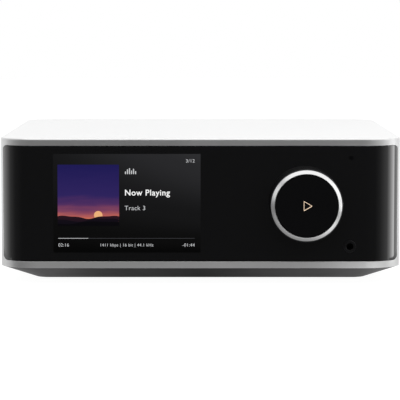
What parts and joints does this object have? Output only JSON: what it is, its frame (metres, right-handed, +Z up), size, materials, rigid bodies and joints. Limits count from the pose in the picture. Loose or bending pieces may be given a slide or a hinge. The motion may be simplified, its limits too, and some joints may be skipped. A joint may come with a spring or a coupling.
{
  "type": "network music streamer",
  "caption": "Flat square music streamer with a wrap-round glass front, colour screen, turning volume ring with a press button, headphone socket and rear sockets.",
  "frame": {"origin": "on the surface that the case stands on, at the middle of the ring foot, under the middle of the case", "axes": "+Z up, +Y from the front to the back, +X to the right seen from the front"},
  "size_m": [0.2, 0.2227, 0.073],
  "materials": {
    "case_aluminium": "fine blasted and anodised, satin",
    "black_glass": "black printed on its back, polished",
    "black_plastic": "moulded, fine texture",
    "screen_glass": "gloss",
    "sheet_steel": "plain sheet",
    "ribbon_film": "satin film",
    "knob_aluminium": "turned and anodised, bright chamfer",
    "turned_steel": "turned",
    "icon_amber": "clear, lit from behind",
    "black_gloss": "polished",
    "white_plastic": "moulded",
    "circuit_board": "satin solder resist",
    "black_metal": "black plated",
    "smoked_plastic": "smoked, clear",
    "graphite_tray": "fine texture, satin",
    "foot_rubber": "matt",
    "screw_steel": "zinc plated",
    "screw_black": "black oxide",
    "sink_aluminium": "extruded",
    "chip_black": "moulded",
    "can_aluminium": "drawn can",
    "wire_red": "insulated wire",
    "coax_black": "thin jacket",
    "ferrite": "taped core",
    "rear_plastic": "moulded, fine texture",
    "brass_contact": "plain",
    "flap_plastic": "moulded",
    "plated_contact": "nickel plated"
  },
  "bodies": {
    "root": {"housing": "case_aluminium", "front_glass": "black_glass", "front_carrier": "black_plastic", "display_panel": "screen_glass", "display_backlight": "sheet_steel", "display_bracket": "sheet_steel", "display_ribbon": "ribbon_film", "encoder_body": "turned_steel", "encoder_nut": "turned_steel", "switch_body": "black_plastic", "control_board": "circuit_board", "headphone_jack": "black_plastic", "jack_bushing": "black_metal", "light_sensor": "smoked_plastic", "control_ribbon": "ribbon_film", "base_tray": "graphite_tray", "foot_ring": "foot_rubber", "base_screws": "screw_steel", "inner_screws": "screw_steel", "rear_screws": "screw_black", "main_board": "circuit_board", "supply_board": "circuit_board", "processor_shield": "sheet_steel", "heat_sink": "sink_aluminium", "wireless_module": "sheet_steel", "board_chips": "chip_black", "board_capacitors": "can_aluminium", "board_connectors": "white_plastic", "supply_lead": "wire_red", "antennas": "circuit_board", "antenna_leads": "coax_black", "line_filter": "black_plastic", "bulk_capacitor": "can_aluminium", "power_transformer": "ferrite", "supply_sink": "sink_aluminium", "output_capacitors": "can_aluminium", "rear_panel": "rear_plastic", "mains_inlet": "black_plastic", "inlet_pins": "brass_contact", "trigger_jack": "black_plastic", "video_socket": "sheet_steel", "usb_socket": "sheet_steel", "socket_tongues": "black_plastic", "network_socket": "sheet_steel", "optical_tower": "black_plastic", "audio_blocks": "black_plastic", "audio_cores": "white_plastic", "audio_sleeves": "plated_contact", "ground_post": "plated_contact"},
    "volume_knob": {"knob_ring": "knob_aluminium", "knob_hub": "turned_steel", "code_disc": "sheet_steel"},
    "play_button": {"button_lens": "black_gloss", "play_icon": "icon_amber", "button_stem": "black_plastic", "switch_plunger": "white_plastic"},
    "lower_flap": {"lower_optical_flap": "flap_plastic"},
    "upper_flap": {"upper_optical_flap": "flap_plastic"},
    "terminal_washer": {"ground_washer": "plated_contact"},
    "terminal_nut": {"ground_nut": "plated_contact"}
  },
  "joints": [
    {"name": "knob_turn", "type": "hinge", "parent": "root", "child": "volume_knob", "pos_m": [0.052, -0.1, 0.04075], "axis": [0, -1, 0], "continuous": true},
    {"name": "button_press", "type": "slide", "parent": "root", "child": "play_button", "axis": [0, 1, 0], "range_m": [0, 0.0006], "stiffness_N_per_m": 2500, "springref_m": -0.0003},
    {"name": "lower_flap_swing", "type": "hinge", "parent": "root", "child": "lower_flap", "pos_m": [0.0185, 0.0975, 0.0275], "axis": [-1, 0, 0], "range_deg": [0, 85], "stiffness_Nm_per_rad": 0.00005, "springref_deg": -11.46},
    {"name": "upper_flap_swing", "type": "hinge", "parent": "root", "child": "upper_flap", "pos_m": [0.0185, 0.0975, 0.0405], "axis": [-1, 0, 0], "range_deg": [0, 85], "stiffness_Nm_per_rad": 0.00005, "springref_deg": -11.46},
    {"name": "washer_slide", "type": "slide", "parent": "root", "child": "terminal_washer", "axis": [0, 1, 0], "range_m": [0, 0.0028]},
    {"name": "nut_turn", "type": "hinge", "parent": "terminal_washer", "child": "terminal_nut", "pos_m": [0.06575, 0.101, 0.054], "axis": [0, 1, 0], "range_deg": [0, 1440]}
  ],
  "couplings": [
    {"joint": "nut_turn", "follows": "washer_slide", "rad_per_m": 8976}
  ]
}
